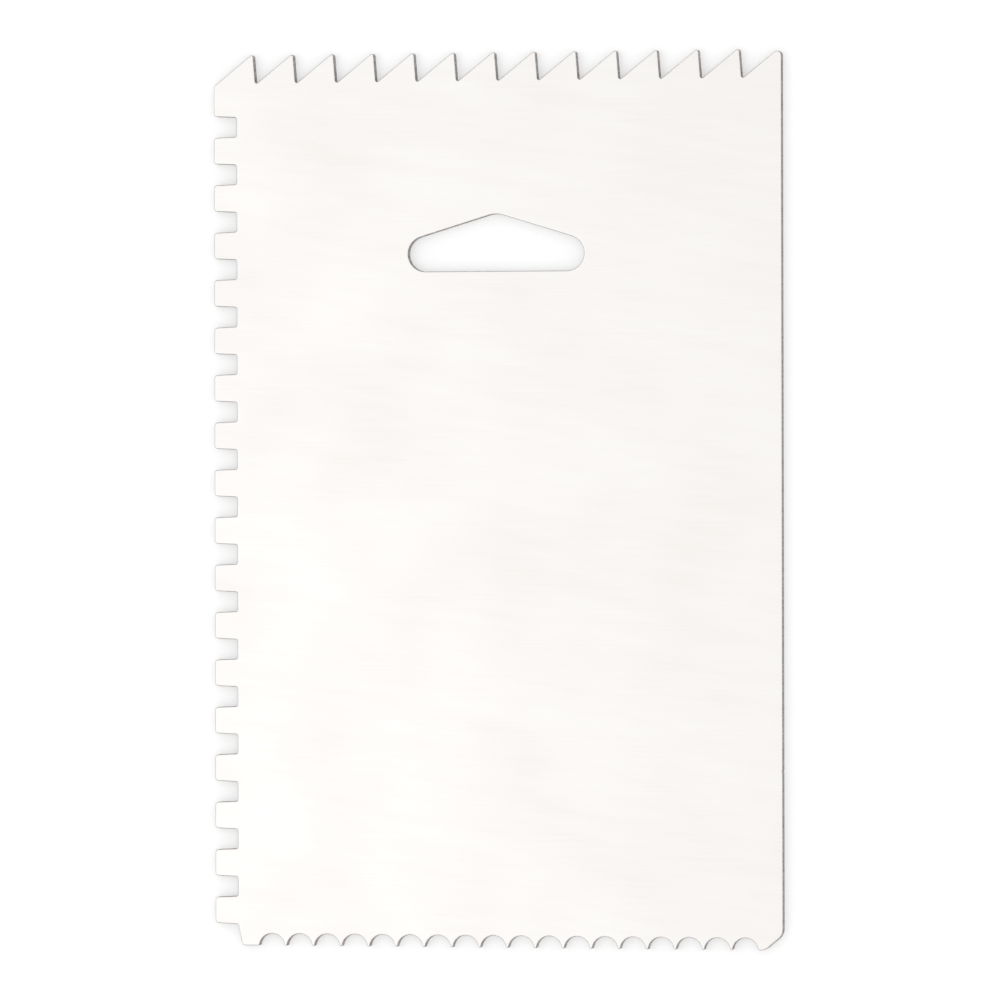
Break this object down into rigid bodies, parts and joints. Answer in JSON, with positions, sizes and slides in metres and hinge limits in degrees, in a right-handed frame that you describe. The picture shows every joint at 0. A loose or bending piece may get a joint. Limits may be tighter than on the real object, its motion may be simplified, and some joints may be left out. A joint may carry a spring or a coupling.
{
  "type": "icing smoother",
  "caption": "Flat metal icing smoother: one stamped sheet with saw, square-toothed, scalloped and plain edges and a peaked hang slot.",
  "frame": {"origin": "middle of the back face, which lies on the surface: the centre of the bounding box's base", "axes": "+Z out of the front face through the thickness, +Y towards the saw edge, +X towards the plain edge"},
  "size_m": [0.0908, 0.14, 0.0015],
  "materials": {
    "brushed_aluminium": "Cold-rolled aluminium sheet, lightly brushed across its width, pale satin face with darker cut edges."
  },
  "bodies": {
    "root": {"comb_plate": "brushed_aluminium"}
  },
  "joints": []
}
